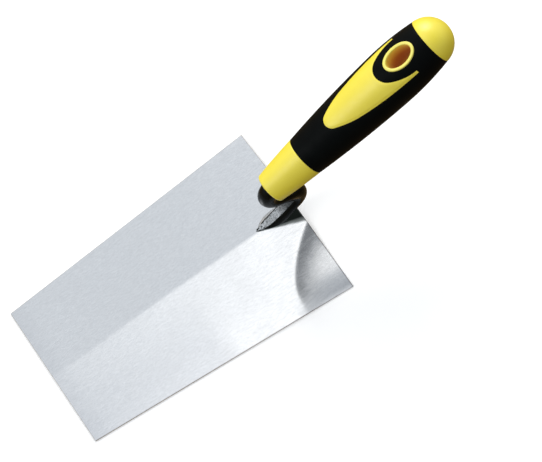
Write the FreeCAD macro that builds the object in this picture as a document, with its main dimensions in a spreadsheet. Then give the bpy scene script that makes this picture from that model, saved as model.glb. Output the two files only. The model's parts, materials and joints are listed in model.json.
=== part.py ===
import FreeCAD, Part
import math
import os
import Sketcher
from FreeCAD import Placement, Rotation, Vector

# Square-front bricklaying trowel with a swan neck and a two-colour handle.
#
# Millimetres. The origin is the middle of the blade's underside, which lies in the XY plane.
# -X is the blade's front edge, +X its heel and the handle, and +Z is the side the hand is on.
# The handle is turned about its own axis: in its local frame the axis is +Z, from the front
# rim to the butt, and -X is the top, the side with the thumb window and the hanging hole.

doc = FreeCAD.newDocument("trowel")


# ---------------------------------------------------------------- driving dimensions

DIMENSIONS = {
    # blade
    "blade_length": 180.0,
    "front_width": 98.0,
    "heel_width": 122.0,
    "edge_thickness": 1.0,
    "front_ridge_thickness": 1.5,
    "heel_ridge_thickness": 4.2,
    "heel_crown": 0.6,
    # how far cutting tools run past the material, and how long the handle's cross bars are
    "run_out": 5.0,
    "cross_bar_length": 52.0,
    # where the handle starts, and how steeply it rises from the blade
    "rim_x": 77.8,
    "rim_z": 58.2,
    "handle_rise": 23.7,
    # neck: one round bar bent to an S
    "bar_radius": 5.4,
    "shank_depth": 20.0,
    "front_bend_radius": 11.5,
    "front_bend_x": 85.9,
    "rear_bend_radius": 8.5,
    "rear_bend_x": 85.7,
    "rear_bend_z": 26.8,
    "foot_x": 64.7,
    "foot_slope": 37.5,
    "foot_facet_depth": 0.9,
    "foot_facet_length": 32.0,
    "foot_root": 0.6,
    "foot_tip_x": 61.6,
    "foot_tip_width": 0.7,
    "foot_flank_x": 82.0,
    "foot_flank_width": 12.0,
    "foot_flank_height": 16.0,
    # root: the concave flare that spreads the foot's load over the heel
    "root_front_x": 62.6,
    "root_front_half_width": 0.35,
    "root_front_neck_half_width": 0.25,
    "root_front_height": 3.5,
    "root_x": 89.4,
    "root_half_width": 8.4,
    "root_neck_half_width": 1.6,
    "root_height": 13.0,
    "root_hollow": 11.0,
    "tang_end": 92.0,
    "tang_root_radius": 4.4,
    "tang_tip_radius": 2.6,
    # weld beads, one along each side of the root
    "weld_radius": 1.5,
    "weld_start_x": 65.0,
    "weld_start_y": 1.0,
    "weld_end_x": 87.5,
    "weld_end_y": 6.4,
    "weld_z": 3.3,
    # handle stations along its axis, and the radius of its skin at each
    "ferrule_end": 29.2,
    "belly": 97.0,
    "grip_end": 128.2,
    "butt_end": 142.0,
    "rim_radius": 9.9,
    "ferrule_radius": 12.9,
    "belly_radius": 17.2,
    "grip_end_radius": 15.0,
    # radii of the long arcs that join those stations
    "ferrule_bow": 360.0,
    "front_grip_bow": 790.0,
    "rear_grip_bow": 175.0,
    "rim_round": 1.2,
    # soft grip, the lands that stand through it and the cap that closes it
    "grip_thickness": 2.5,
    "land_proud": 0.3,
    "spigot_radius": 9.5,
    "spigot_length": 4.0,
    # thumb window, on the top and the underside
    "nose_radius": 5.5,
    "nose_flank": 5.0,
    "nose_flank_station": 57.0,
    "shoulder": 9.8,
    "shoulder_station": 71.5,
    "horn_outside": 13.0,
    "horn_inside": 11.9,
    "horn_station": 114.4,
    "shoulder_bow": 65.0,
    "flank_bow": 220.0,
    "saddle_side": 7.6,
    "saddle_side_station": 98.4,
    "saddle_radius": 9.1,
    "horn_bow": 30.0,
    # hanging hole
    "eyelet_station": 112.0,
    "eyelet_half_length": 10.4,
    "eyelet_half_width": 6.95,
    "eyelet_wall": 1.5,
    "eyelet_proud": 0.7,
}


def fill_sheet():
    """Puts every driving dimension in the spreadsheet, one aliased cell each."""
    sheet = doc.addObject("Spreadsheet::Sheet", "dims")
    for row, (alias, number) in enumerate(DIMENSIONS.items(), start=1):
        sheet.set(f"A{row}", alias)
        sheet.set(f"B{row}", str(number))
        sheet.setAlias(f"B{row}", alias)
    doc.recompute()
    return sheet


class Size:
    """A number together with the spreadsheet formula that drives it."""

    def __init__(self, number, formula=None):
        self.number = float(number)
        self.formula = formula or repr(float(number))

    def __add__(self, other):
        other = as_size(other)
        return Size(self.number + other.number, f"({self.formula} + {other.formula})")

    def __sub__(self, other):
        other = as_size(other)
        return Size(self.number - other.number, f"({self.formula} - {other.formula})")

    def __mul__(self, other):
        other = as_size(other)
        return Size(self.number * other.number, f"({self.formula} * {other.formula})")

    def __truediv__(self, other):
        other = as_size(other)
        return Size(self.number / other.number, f"({self.formula} / {other.formula})")

    def __neg__(self):
        return Size(-self.number, f"(-{self.formula})")


def as_size(value):
    return value if isinstance(value, Size) else Size(value)


def sine(angle):
    return Size(math.sin(math.radians(angle.number)), f"sin({angle.formula})")


def cosine(angle):
    return Size(math.cos(math.radians(angle.number)), f"cos({angle.formula})")


def hypotenuse(across, up):
    number = math.hypot(across.number, up.number)
    return Size(number, f"sqrt(({across.formula})^2 + ({up.formula})^2)")


dims = fill_sheet()
SIZE = {alias: Size(dims.get(alias), f"dims.{alias}") for alias in DIMENSIONS}
ZERO = Size(0.0)


def bind(item, name, value):
    """Sets a property to a size's number and ties it to the size's formula."""
    value = as_size(value)
    if "." not in name:
        setattr(item, name, value.number)
    item.setExpression(name, value.formula)


def bind_placement(item, name, x, y, z, axis=Vector(0, 1, 0), angle=ZERO):
    """Places an object, or a sketch's offset, with every number bound to the sheet."""
    x, y, z, angle = (as_size(value) for value in (x, y, z, angle))
    rotation = Rotation(axis, angle.number)
    setattr(item, name, Placement(Vector(x.number, y.number, z.number), rotation))
    for field, value in (("x", x), ("y", y), ("z", z)):
        item.setExpression(f"{name}.Base.{field}", value.formula)
    if angle.formula != ZERO.formula:
        item.setExpression(f"{name}.Rotation.Angle", angle.formula)


# ---------------------------------------------------------------- sketch helpers

def new_body(name):
    return doc.addObject("PartDesign::Body", name)


def new_sketch(body, name, plane, height=ZERO):
    """A sketch on one of the body's own origin planes, moved along the plane's normal."""
    origin_plane = next(item for item in body.Origin.OriginFeatures if item.Role == plane)
    sketch = body.newObject("Sketcher::SketchObject", name)
    sketch.AttachmentSupport = (origin_plane, [""])
    sketch.MapMode = "FlatFace"
    bind_placement(sketch, "AttachmentOffset", ZERO, ZERO, height)
    return sketch


def add_dimension(sketch, kind, where, value):
    """Adds a driving dimension bound to the sheet; a zero is a point on the other axis."""
    if value.number == 0.0 and kind in ("DistanceX", "DistanceY"):
        axis = -2 if kind == "DistanceX" else -1
        sketch.addConstraint(Sketcher.Constraint("PointOnObject", *where, axis))
        return
    if kind in ("DistanceX", "DistanceY"):
        where = (-1, 1) + where
    index = sketch.addConstraint(Sketcher.Constraint(kind, *where, value.number))
    sketch.setExpression(f"Constraints[{index}]", value.formula)


def draw_arc(sketch, first, last, radius):
    """Adds the short arc from first to last; a positive radius bows to the right of the way.

    Sketcher arcs run anticlockwise, so one that bows to the left is drawn backwards.
    """
    backwards = radius < 0
    start, end = (last, first) if backwards else (first, last)
    chord = end - start
    left = Vector(-chord.y, chord.x, 0).normalize()
    centre = (start + end) * 0.5 + left * math.sqrt(radius**2 - (chord.Length / 2) ** 2)
    start_angle = math.atan2(start.y - centre.y, start.x - centre.x)
    sweep = 2 * math.asin(chord.Length / 2 / abs(radius))
    circle = Part.Circle(centre, Vector(0, 0, 1), abs(radius))
    edge = sketch.addGeometry(Part.ArcOfCircle(circle, start_angle, start_angle + sweep), False)
    return (edge, 2, 1) if backwards else (edge, 1, 2)


def draw_outline(sketch, corners, bows=None):
    """Draws a closed outline. bows gives the signed radius of each edge that is an arc."""
    bows = bows or {}
    points = [Vector(x.number, y.number, 0) for x, y in corners]
    ends = []
    for index, (first, last) in enumerate(zip(points, points[1:] + points[:1])):
        if index in bows:
            ends.append(draw_arc(sketch, first, last, bows[index].number))
            radius = bows[index] if bows[index].number > 0 else -bows[index]
            add_dimension(sketch, "Radius", (ends[-1][0],), radius)
        else:
            ends.append((sketch.addGeometry(Part.LineSegment(first, last), False), 1, 2))
    for index, (edge, start, _) in enumerate(ends):
        previous, _, finish = ends[index - 1]
        sketch.addConstraint(Sketcher.Constraint("Coincident", previous, finish, edge, start))
        add_dimension(sketch, "DistanceX", (edge, start), corners[index][0])
        add_dimension(sketch, "DistanceY", (edge, start), corners[index][1])


def draw_circle(sketch, radius):
    circle = Part.Circle(Vector(0, 0, 0), Vector(0, 0, 1), radius.number)
    edge = sketch.addGeometry(circle, False)
    sketch.addConstraint(Sketcher.Constraint("Coincident", edge, 3, -1, 1))
    add_dimension(sketch, "Radius", (edge,), radius)


def combine(kind, name, base, tool):
    """A Part boolean of two objects: Part::Cut, Part::Common or Part::Fuse."""
    result = doc.addObject(kind, name)
    result.Base = base
    result.Tool = tool
    return result


# ---------------------------------------------------------------- blade

def blade_section(body, name, station, width, ridge):
    """A roof section across the blade, seen along X, with stock left on below the underside."""
    edge = SIZE["edge_thickness"]
    stock = -SIZE["run_out"]
    sketch = new_sketch(body, name, "YZ_Plane", station)
    corners = [
        (-width / 2, stock),
        (width / 2, stock),
        (width / 2, edge),
        (ZERO, ridge),
        (-width / 2, edge),
    ]
    draw_outline(sketch, corners)
    return sketch


def make_blade():
    """Trapezoid blade: flat underside, roof-shaped top that thickens towards the heel."""
    body = new_body("blade")
    half = SIZE["blade_length"] / 2
    crown = SIZE["heel_crown"]
    front = blade_section(body, "front_section", -half, SIZE["front_width"],
                          SIZE["front_ridge_thickness"])
    heel = blade_section(body, "heel_section", half + crown, SIZE["heel_width"],
                         SIZE["heel_ridge_thickness"])
    loft = body.newObject("PartDesign::AdditiveLoft", "taper_ground_plate")
    loft.Profile = front
    loft.Sections = [heel]
    loft.Ruled = True
    doc.recompute()

    # The underside is ground to one flat face.
    below = body.newObject("PartDesign::SubtractiveBox", "underside")
    clear = SIZE["run_out"]
    bind(below, "Length", SIZE["blade_length"] + crown + clear * 2)
    bind(below, "Width", SIZE["heel_width"] + clear * 2)
    bind(below, "Height", clear * 2)
    bind_placement(below, "Placement", -half - clear, -SIZE["heel_width"] / 2 - clear, clear * -2)
    doc.recompute()

    # The heel edge is a shallow arc, so that it stands out a little in the middle.
    reach = SIZE["heel_width"] / 2
    radius = (reach * reach + crown * crown) / (crown * 2)
    trim = new_sketch(body, "heel_arc", "XY_Plane")
    corners = [
        (half, -reach),
        (half + clear, -reach),
        (half + clear, reach),
        (half, reach),
    ]
    draw_outline(trim, corners, {3: -radius})
    pocket = body.newObject("PartDesign::Pocket", "heel_trim")
    pocket.Profile = trim
    pocket.Type = "ThroughAll"
    pocket.Reversed = True
    doc.recompute()
    return body


# ---------------------------------------------------------------- neck

def draw_neck_path(sketch):
    """The bar's centre line: handle axis, front bend, middle limb, rear bend, lower limb."""
    rise = SIZE["handle_rise"]
    depth = SIZE["shank_depth"]
    start_x = SIZE["rim_x"] + depth * cosine(rise)
    start_z = SIZE["rim_z"] + depth * sine(rise)
    front_x = SIZE["front_bend_x"].number
    front_r = SIZE["front_bend_radius"].number
    climb = math.radians(rise.number)
    axis_z = SIZE["rim_z"].number + (front_x - SIZE["rim_x"].number) * math.tan(climb)
    front_z = axis_z - front_r / math.cos(climb)
    rear_x = SIZE["rear_bend_x"].number
    rear_z = SIZE["rear_bend_z"].number
    rear_r = SIZE["rear_bend_radius"].number

    # Directions from each bend's centre to the ends of its arc, in degrees. The middle limb
    # is tangent to both bends on opposite sides.
    start_angle = 90 + rise.number
    finish_angle = SIZE["foot_slope"].number - 90
    bearing = math.degrees(math.atan2(rear_z - front_z, rear_x - front_x))
    gap = math.hypot(rear_x - front_x, rear_z - front_z)
    limb_angle = bearing % 360 - math.degrees(math.acos((front_r + rear_r) / gap))
    front = Part.Circle(Vector(front_x, front_z, 0), Vector(0, 0, 1), front_r)
    rear = Part.Circle(Vector(rear_x, rear_z, 0), Vector(0, 0, 1), rear_r)
    front_arc = Part.ArcOfCircle(front, math.radians(start_angle), math.radians(limb_angle))
    rear_arc = Part.ArcOfCircle(rear, math.radians(finish_angle), math.radians(limb_angle - 180))

    start = Vector(start_x.number, start_z.number, 0)
    foot = Vector(SIZE["foot_x"].number, 0, 0)
    sketch.addGeometry(Part.LineSegment(start, front_arc.StartPoint), False)
    sketch.addGeometry(front_arc, False)
    sketch.addGeometry(Part.LineSegment(front_arc.EndPoint, rear_arc.EndPoint), False)
    sketch.addGeometry(rear_arc, False)
    sketch.addGeometry(Part.LineSegment(rear_arc.StartPoint, foot), False)
    shank, front_bend, middle_limb, rear_bend, lower_limb = range(5)

    for first, first_end, last, last_end in (
        (shank, 2, front_bend, 1),
        (front_bend, 2, middle_limb, 1),
        (middle_limb, 2, rear_bend, 2),
        (rear_bend, 1, lower_limb, 1),
    ):
        joint = Sketcher.Constraint("Tangent", first, first_end, last, last_end)
        sketch.addConstraint(joint)
    add_dimension(sketch, "DistanceX", (shank, 1), start_x)
    add_dimension(sketch, "DistanceY", (shank, 1), start_z)
    add_dimension(sketch, "Radius", (front_bend,), SIZE["front_bend_radius"])
    add_dimension(sketch, "DistanceX", (front_bend, 3), SIZE["front_bend_x"])
    add_dimension(sketch, "Radius", (rear_bend,), SIZE["rear_bend_radius"])
    add_dimension(sketch, "DistanceX", (rear_bend, 3), SIZE["rear_bend_x"])
    add_dimension(sketch, "DistanceY", (rear_bend, 3), SIZE["rear_bend_z"])
    add_dimension(sketch, "DistanceX", (lower_limb, 2), SIZE["foot_x"])
    add_dimension(sketch, "DistanceY", (lower_limb, 2), ZERO)
    # The shank lies on the handle's axis, so it passes through the centre of the rim.
    rim = sketch.addGeometry(Part.Point(Vector(SIZE["rim_x"].number, SIZE["rim_z"].number, 0)))
    sketch.toggleConstruction(rim)
    add_dimension(sketch, "DistanceX", (rim, 1), SIZE["rim_x"])
    add_dimension(sketch, "DistanceY", (rim, 1), SIZE["rim_z"])
    sketch.addConstraint(Sketcher.Constraint("PointOnObject", rim, 1, shank))


def root_section(body, name, station, foot, neck, height):
    """A hollow-sided section of the root, from inside the blade up to the bar."""
    sketch = new_sketch(body, name, "YZ_Plane", station)
    base = SIZE["edge_thickness"]
    corners = [(-foot, base), (foot, base), (neck, height), (-neck, height)]
    hollow = SIZE["root_hollow"]
    draw_outline(sketch, corners, {1: -hollow, 3: -hollow})
    return sketch


def make_neck(blade):
    """One forging: S-bent bar, ground foot and the tapered tang inside the handle."""
    body = new_body("neck_forging")
    rise = SIZE["handle_rise"]
    tilt = Size(90.0) - rise
    depth = SIZE["shank_depth"]
    start_x = SIZE["rim_x"] + depth * cosine(rise)
    start_z = SIZE["rim_z"] + depth * sine(rise)

    path = new_sketch(body, "neck_path", "XZ_Plane")
    draw_neck_path(path)
    section = new_sketch(body, "bar_section", "XY_Plane")
    bind_placement(section, "AttachmentOffset", start_x, ZERO, start_z, angle=tilt)
    draw_circle(section, SIZE["bar_radius"])
    doc.recompute()
    bar = body.newObject("PartDesign::AdditivePipe", "swan_neck")
    bar.Profile = section
    bar.Spine = path
    doc.recompute()

    tang = body.newObject("PartDesign::AdditiveCone", "tang")
    bind(tang, "Radius1", SIZE["tang_root_radius"])
    bind(tang, "Radius2", SIZE["tang_tip_radius"])
    bind(tang, "Height", SIZE["tang_end"] - depth)
    bind_placement(tang, "Placement", start_x, ZERO, start_z, angle=tilt)
    doc.recompute()

    # The bar ends inside the blade's thickness, on a level face.
    bar_width = SIZE["bar_radius"] * 2
    root = body.newObject("PartDesign::SubtractiveBox", "root_face")
    bind(root, "Length", bar_width * 4)
    bind(root, "Width", bar_width * 2)
    bind(root, "Height", bar_width)
    bind_placement(root, "Placement", SIZE["foot_x"] - bar_width * 2, -bar_width,
                   SIZE["foot_root"] - bar_width)
    doc.recompute()

    # The top of the foot is ground to a long flat facet that runs down to the blade.
    slope = SIZE["foot_slope"]
    run_out = SIZE["run_out"]
    facet_height = SIZE["bar_radius"] - SIZE["foot_facet_depth"]
    facet = body.newObject("PartDesign::SubtractiveBox", "ground_facet")
    bind(facet, "Length", SIZE["foot_facet_length"] + run_out)
    bind(facet, "Width", bar_width * 2)
    bind(facet, "Height", run_out)
    bind_placement(
        facet, "Placement",
        SIZE["foot_x"] - facet_height * sine(slope) - run_out * cosine(slope),
        -bar_width,
        facet_height * cosine(slope) - run_out * sine(slope),
        angle=-slope,
    )
    doc.recompute()

    # Seen from above, the foot is a leaf: its sides are ground away towards a narrow tip.
    tip = SIZE["foot_tip_x"]
    flank = SIZE["foot_flank_x"]
    sides = new_sketch(body, "leaf_sides", "XY_Plane")
    for side in (1, -1):
        corners = [
            (tip, SIZE["foot_tip_width"] / 2 * side),
            (flank, SIZE["foot_flank_width"] / 2 * side),
            (flank, bar_width * side),
            (tip - bar_width, bar_width * side),
            (tip - bar_width, SIZE["foot_tip_width"] / 2 * side),
        ]
        draw_outline(sides, corners)
    leaf = body.newObject("PartDesign::Pocket", "leaf_point")
    leaf.Profile = sides
    leaf.Reversed = True
    bind(leaf, "Length", SIZE["foot_flank_height"])
    doc.recompute()

    # A hollow-sided root fills the corner between the foot and the heel.
    front = root_section(body, "root_front", SIZE["root_front_x"], SIZE["root_front_half_width"],
                         SIZE["root_front_neck_half_width"], SIZE["root_front_height"])
    heel = root_section(body, "root_heel", SIZE["root_x"], SIZE["root_half_width"],
                        SIZE["root_neck_half_width"], SIZE["root_height"])
    root_flare = body.newObject("PartDesign::AdditiveLoft", "root_flare")
    root_flare.Profile = front
    root_flare.Sections = [heel]
    root_flare.Ruled = True
    doc.recompute()
    return combine("Part::Cut", "neck", body, blade)


# ---------------------------------------------------------------- weld

def make_welds(blade, neck):
    """The two beads that join the root to the blade, cut to fit both."""
    run_x = SIZE["weld_end_x"] - SIZE["weld_start_x"]
    run_y = SIZE["weld_end_y"] - SIZE["weld_start_y"]
    angle = math.degrees(math.atan2(run_y.number, run_x.number))
    beads = []
    for name, side in (("left_bead", 1), ("right_bead", -1)):
        rod = doc.addObject("Part::Cylinder", f"{name}_rod")
        bind(rod, "Radius", SIZE["weld_radius"])
        bind(rod, "Height", hypotenuse(run_x, run_y))
        start = (SIZE["weld_start_x"], SIZE["weld_start_y"] * side, SIZE["weld_z"])
        heading = Rotation(Vector(0, 0, 1), side * angle) * Rotation(Vector(0, 1, 0), 90)
        rod.Placement = Placement(Vector(*(value.number for value in start)), heading)
        for field, value in zip("xyz", start):
            rod.setExpression(f"Placement.Base.{field}", value.formula)
        on_blade = combine("Part::Cut", f"{name}_on_blade", rod, blade)
        beads.append(combine("Part::Cut", name, on_blade, neck))
    welds = doc.addObject("Part::Compound", "weld_beads")
    welds.Links = beads
    return welds


# ---------------------------------------------------------------- handle

def place_on_handle(item):
    """Moves an object from the handle's own frame to the trowel's."""
    tilt = Size(90.0) - SIZE["handle_rise"]
    bind_placement(item, "Placement", SIZE["rim_x"], ZERO, SIZE["rim_z"], angle=tilt)


def revolve_profile(name, corners, bows):
    """Turns an outline of (radius, station) corners about the handle's axis."""
    body = new_body(name)
    sketch = new_sketch(body, f"{name}_profile", "XZ_Plane")
    draw_outline(sketch, corners, bows)
    doc.recompute()
    turned = body.newObject("PartDesign::Revolution", f"{name}_turned")
    turned.Profile = sketch
    turned.ReferenceAxis = (sketch, ["V_Axis"])
    turned.Angle = 360.0
    place_on_handle(body)
    doc.recompute()
    return body


def make_skin(name, proud):
    """The handle's outer surface over the grip's length, as a solid turned body."""
    corners = [
        (ZERO, SIZE["ferrule_end"]),
        (SIZE["ferrule_radius"] + proud, SIZE["ferrule_end"]),
        (SIZE["belly_radius"] + proud, SIZE["belly"]),
        (SIZE["grip_end_radius"] + proud, SIZE["grip_end"]),
        (ZERO, SIZE["grip_end"]),
    ]
    return revolve_profile(name, corners, {1: SIZE["front_grip_bow"], 2: SIZE["rear_grip_bow"]})


def make_core_blank():
    """Ferrule cone, the waist that the soft grip covers, and the socket for the cap."""
    under = SIZE["grip_thickness"]
    socket = SIZE["grip_end"] - SIZE["spigot_length"]
    rounding = SIZE["rim_round"]
    corners = [
        (ZERO, ZERO),
        (SIZE["rim_radius"] - rounding, ZERO),
        (SIZE["rim_radius"], rounding),
        (SIZE["ferrule_radius"], SIZE["ferrule_end"]),
        (SIZE["ferrule_radius"] - under, SIZE["ferrule_end"]),
        (SIZE["belly_radius"] - under, SIZE["belly"]),
        (SIZE["grip_end_radius"] - under, SIZE["grip_end"]),
        (SIZE["spigot_radius"], SIZE["grip_end"]),
        (SIZE["spigot_radius"], socket),
        (ZERO, socket),
    ]
    bows = {
        1: rounding,
        2: SIZE["ferrule_bow"],
        4: SIZE["front_grip_bow"],
        5: SIZE["rear_grip_bow"],
    }
    return revolve_profile("core_blank", corners, bows)


def make_butt_cap():
    """Domed end cap with the spigot that plugs into the core."""
    socket = SIZE["grip_end"] - SIZE["spigot_length"]
    dome_radius = SIZE["butt_end"] - SIZE["grip_end"]
    dome_bow = (SIZE["grip_end_radius"] * SIZE["grip_end_radius"] / dome_radius + dome_radius) / 2
    corners = [
        (ZERO, socket),
        (SIZE["spigot_radius"], socket),
        (SIZE["spigot_radius"], SIZE["grip_end"]),
        (SIZE["grip_end_radius"], SIZE["grip_end"]),
        (ZERO, SIZE["butt_end"]),
    ]
    return revolve_profile("butt_cap", corners, {3: dome_bow})


def make_window_prism():
    """The thumb window's outline: a teardrop whose two horns reach round the eyelet."""
    half = [
        (SIZE["nose_flank"], SIZE["nose_flank_station"]),
        (SIZE["shoulder"], SIZE["shoulder_station"]),
        (SIZE["horn_outside"], SIZE["horn_station"]),
        (SIZE["horn_inside"], SIZE["horn_station"]),
        (SIZE["saddle_side"], SIZE["saddle_side_station"]),
    ]
    other_half = [(-across, along) for across, along in reversed(half)]
    bows = {
        0: SIZE["shoulder_bow"],
        1: SIZE["flank_bow"],
        3: -SIZE["horn_bow"],
        4: -SIZE["saddle_radius"],
        5: -SIZE["horn_bow"],
        7: SIZE["flank_bow"],
        8: SIZE["shoulder_bow"],
        9: SIZE["nose_radius"],
    }
    body = new_body("window_prism")
    sketch = new_sketch(body, "window_outline", "YZ_Plane")
    draw_outline(sketch, half + other_half, bows)
    doc.recompute()
    prism = body.newObject("PartDesign::Pad", "window_through")
    prism.Profile = sketch
    prism.Midplane = True
    bind(prism, "Length", SIZE["cross_bar_length"])
    place_on_handle(body)
    doc.recompute()
    return body


def make_oval_prism(name, half_length, half_width):
    """An oval bar through the handle from top to underside, at the hanging hole."""
    oval = doc.addObject("Part::Ellipse", f"{name}_outline")
    bind(oval, "MajorRadius", half_length)
    bind(oval, "MinorRadius", half_width)
    # The oval's long axis follows the handle, so its plane is turned a quarter about Y.
    along = SIZE["eyelet_station"]
    rise = SIZE["handle_rise"]
    bind_placement(
        oval, "Placement",
        SIZE["rim_x"] + along * cosine(rise),
        ZERO,
        SIZE["rim_z"] + along * sine(rise),
        angle=-rise,
    )
    prism = doc.addObject("Part::Extrusion", name)
    prism.Base = oval
    prism.DirMode = "Normal"
    prism.Solid = True
    bind(prism, "LengthFwd", SIZE["cross_bar_length"] / 2)
    bind(prism, "LengthRev", SIZE["cross_bar_length"] / 2)
    return prism


def make_handle(neck):
    """Core moulding, soft grip, butt cap and eyelet, each cut to fit its neighbours."""
    skin = make_skin("grip_skin", ZERO)
    land_skin = make_skin("land_skin", SIZE["land_proud"])
    eyelet_skin = make_skin("eyelet_skin", SIZE["eyelet_proud"])
    blank = make_core_blank()
    window = make_window_prism()
    wall = SIZE["eyelet_wall"]
    outer = make_oval_prism("eyelet_outer", SIZE["eyelet_half_length"],
                            SIZE["eyelet_half_width"])
    inner = make_oval_prism("eyelet_inner", SIZE["eyelet_half_length"] - wall,
                            SIZE["eyelet_half_width"] - wall)

    lands = combine("Part::Common", "lands", window, land_skin)
    core_with_lands = combine("Part::Fuse", "core_with_lands", blank, lands)
    drilled_core = combine("Part::Cut", "drilled_core", core_with_lands, outer)
    core = combine("Part::Cut", "handle_core", drilled_core, neck)

    butt_cap = make_butt_cap()
    tube = combine("Part::Cut", "tube", skin, blank)
    sleeve = combine("Part::Cut", "sleeve", tube, butt_cap)
    windowed_sleeve = combine("Part::Cut", "windowed_sleeve", sleeve, window)
    grip = combine("Part::Cut", "grip_sleeve", windowed_sleeve, outer)

    plug = combine("Part::Common", "eyelet_plug", outer, eyelet_skin)
    eyelet = combine("Part::Cut", "hang_eyelet", plug, inner)
    return [core, grip, eyelet, butt_cap]


# ---------------------------------------------------------------- checks and export

def check(parts):
    """Stops if any object failed to build, or a part isn't a sound solid."""
    doc.recompute()
    for item in doc.Objects:
        if "Invalid" in item.State or "Error" in item.State:
            raise RuntimeError(f"{item.Name} failed: {item.State}")
    for item in parts:
        shape = item.Shape
        if shape.isNull() or not shape.isValid() or not shape.Solids:
            raise RuntimeError(f"{item.Label} is not a sound solid")
        box = shape.BoundBox
        print(f"{item.Label:14s} solids {len(shape.Solids)}  volume {shape.Volume:9.0f}"
              f"  x {box.XMin:.1f} to {box.XMax:.1f}  y {box.YMin:.1f} to {box.YMax:.1f}"
              f"  z {box.ZMin:.1f} to {box.ZMax:.1f}")


blade = make_blade()
neck = make_neck(blade)
welds = make_welds(blade, neck)
sub_parts = [blade, neck, welds] + make_handle(neck)
for sub_part in sub_parts:
    sub_part.Label = sub_part.Name
check(sub_parts)
os.makedirs("parts", exist_ok=True)
for sub_part in sub_parts:
    sub_part.Shape.exportStep(f"parts/{sub_part.Label}.step")
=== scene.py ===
import json
from math import acos, asin, atan2, copysign, cos, exp, hypot, pi, radians, sin, sqrt, tan

import bmesh
import bpy
from mathutils import Matrix, Vector, noise


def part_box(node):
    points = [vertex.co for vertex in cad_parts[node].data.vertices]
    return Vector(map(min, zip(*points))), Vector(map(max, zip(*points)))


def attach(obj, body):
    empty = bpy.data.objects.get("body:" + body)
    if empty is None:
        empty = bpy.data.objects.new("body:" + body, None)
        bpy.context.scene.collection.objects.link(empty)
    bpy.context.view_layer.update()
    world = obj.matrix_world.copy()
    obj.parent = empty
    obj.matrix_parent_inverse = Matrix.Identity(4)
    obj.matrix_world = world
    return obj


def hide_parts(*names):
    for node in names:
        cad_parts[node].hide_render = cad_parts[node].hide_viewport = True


# Square-front trowel: ground steel blade, lacquered swan neck with a ground foot, and a
# yellow handle moulding under a soft black grip. Sizes below are in millimetres unless a
# name says otherwise; every object is in metres, in the frame of the CAD model.

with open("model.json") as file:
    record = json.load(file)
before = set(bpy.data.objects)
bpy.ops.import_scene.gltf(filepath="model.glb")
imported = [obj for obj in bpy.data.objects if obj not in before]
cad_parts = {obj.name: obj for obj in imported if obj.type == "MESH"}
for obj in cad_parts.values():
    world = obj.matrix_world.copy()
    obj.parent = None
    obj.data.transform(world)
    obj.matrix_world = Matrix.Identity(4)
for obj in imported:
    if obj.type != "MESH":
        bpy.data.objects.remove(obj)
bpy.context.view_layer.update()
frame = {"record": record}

MM = 0.001
MOUNTS = {mount["name"]: mount for mount in frame["record"]["mounts"]}

# The handle's axis, from the hanging hole's place and direction.
HOLE_STATION = 112.0
TOP = Vector(MOUNTS["hang_hole"]["axis"])
ALONG = Vector((TOP.z, 0, -TOP.x))
SIDE = Vector((0, 1, 0))
RIM = Vector(MOUNTS["hang_hole"]["pos_m"]) - ALONG * HOLE_STATION * MM
HANDLE_RISE = asin(ALONG.z)


# ---------------- numbers and meshes

def clamp(value, low=0.0, high=1.0):
    return max(low, min(high, value))


def ease(start, end, value):
    """0 before start, 1 after end, smooth in between."""
    t = clamp((value - start) / (end - start))
    return t * t * (3 - 2 * t)


def mix(first, last, share):
    return first + (last - first) * share


def spread(first, last, count):
    """count numbers from first to last, evenly spaced."""
    return [mix(first, last, index / (count - 1)) for index in range(count)]


def turns(count):
    """count angles, evenly spaced round a full turn."""
    return spread(0, 2 * pi, count + 1)[:-1]


def skin(rings, wrap=False, capped=False):
    """Quads over closed rings of equal length, joined round or capped at both ends."""
    bm = bmesh.new()
    rows = [[bm.verts.new(point) for point in ring] for ring in rings]
    size = len(rows[0])
    pairs = list(zip(rows, rows[1:] + rows[:1])) if wrap else list(zip(rows, rows[1:]))
    for row, following in pairs:
        for index in range(size):
            after = (index + 1) % size
            bm.faces.new((row[index], row[after], following[after], following[index]))
    if capped:
        bm.faces.new(rows[0])
        bm.faces.new(rows[-1])
    return bm, rows


def shade_by_angle(bm, degrees):
    """Smooth shading that breaks at edges sharper than the angle."""
    limit = radians(degrees)
    for face in bm.faces:
        face.smooth = True
    for edge in bm.edges:
        edge.smooth = len(edge.link_faces) != 2 or edge.calc_face_angle(0.0) < limit


def new_object(name, data):
    """A new object in the scene."""
    made = bpy.data.objects.new(name, data)
    bpy.context.scene.collection.objects.link(made)
    return made


def finish_mesh(bm, name, materials, sharp_degrees=40.0):
    """Cleans a bmesh, turns its faces outwards and makes it a smooth-shaded object."""
    bmesh.ops.remove_doubles(bm, verts=bm.verts, dist=1e-6)
    bmesh.ops.recalc_face_normals(bm, faces=bm.faces)
    shade_by_angle(bm, sharp_degrees)
    mesh = bpy.data.meshes.new(name)
    bm.to_mesh(mesh)
    bm.free()
    for material in materials:
        mesh.materials.append(material)
    return new_object(name, mesh)


def stand_for(piece, node, mirrored=True):
    """Hides the CAD node a piece stands for, puts the piece under the root body, and sets if
    glossy surfaces mirror it.
    """
    piece.visible_glossy = mirrored
    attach(piece, "root")
    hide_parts(node)


# ---------------- materials

def new_material(name):
    """A node material and its object coordinates, in millimetres."""
    material = bpy.data.materials.new(name)
    material.use_nodes = True
    place = add_node(material, "ShaderNodeTexCoord").outputs["Object"]
    millimetres = add_node(material, "ShaderNodeVectorMath", {0: place, "Scale": 1 / MM},
                           operation="SCALE")
    return material, millimetres.outputs[0]


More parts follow.
